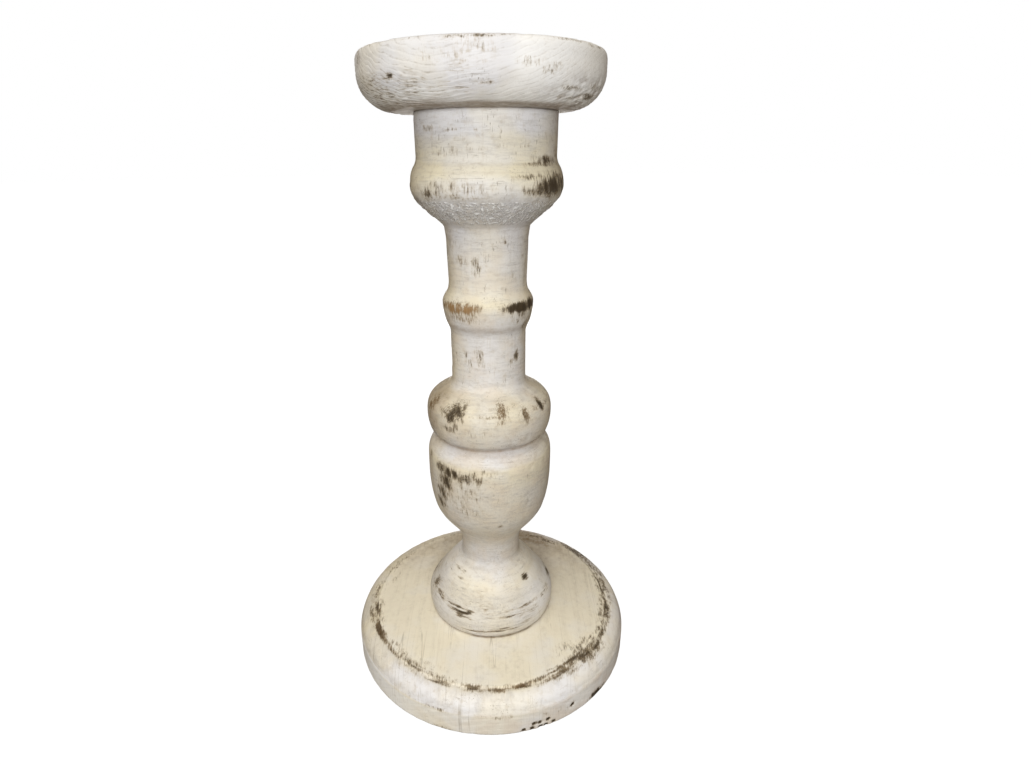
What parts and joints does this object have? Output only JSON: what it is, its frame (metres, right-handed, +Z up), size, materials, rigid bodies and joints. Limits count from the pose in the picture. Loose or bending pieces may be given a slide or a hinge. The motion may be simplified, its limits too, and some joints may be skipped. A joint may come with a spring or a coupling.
{
  "type": "candlestick",
  "caption": "Turned, whitewashed wooden candlestick: round moulded base, baluster spindle with ball, cup, knob, bead and bulb, and a shallow dished plate for a pillar candle.",
  "frame": {"origin": "centre of the base's footprint, on the surface that the felt pads stand on", "axes": "+Z up along the spindle towards the candle plate; X and Y are level, and the plate sits 1.6 mm off the axis towards -X"},
  "size_m": [0.152, 0.152, 0.305],
  "materials": {
    "painted_base": "thin cream-white chalk paint over pine, rubbed through along the edges",
    "painted_spindle": "thin off-white chalk paint over pine, with scratches and dark rubbed spots",
    "painted_plate": "thin grey-white chalk paint over pine, with the grain showing as ridges",
    "bare_dowel": "bare, glued",
    "zinc_steel": "zinc plated, satin",
    "felt": "dense felt"
  },
  "bodies": {
    "root": {"base_disc": "painted_base", "stem_spindle": "painted_spindle", "candle_plate": "painted_plate", "plate_dowel": "bare_dowel", "base_screw": "zinc_steel", "base_washer": "zinc_steel", "felt_pad_1": "felt", "felt_pad_2": "felt", "felt_pad_3": "felt", "felt_pad_4": "felt"}
  },
  "joints": []
}
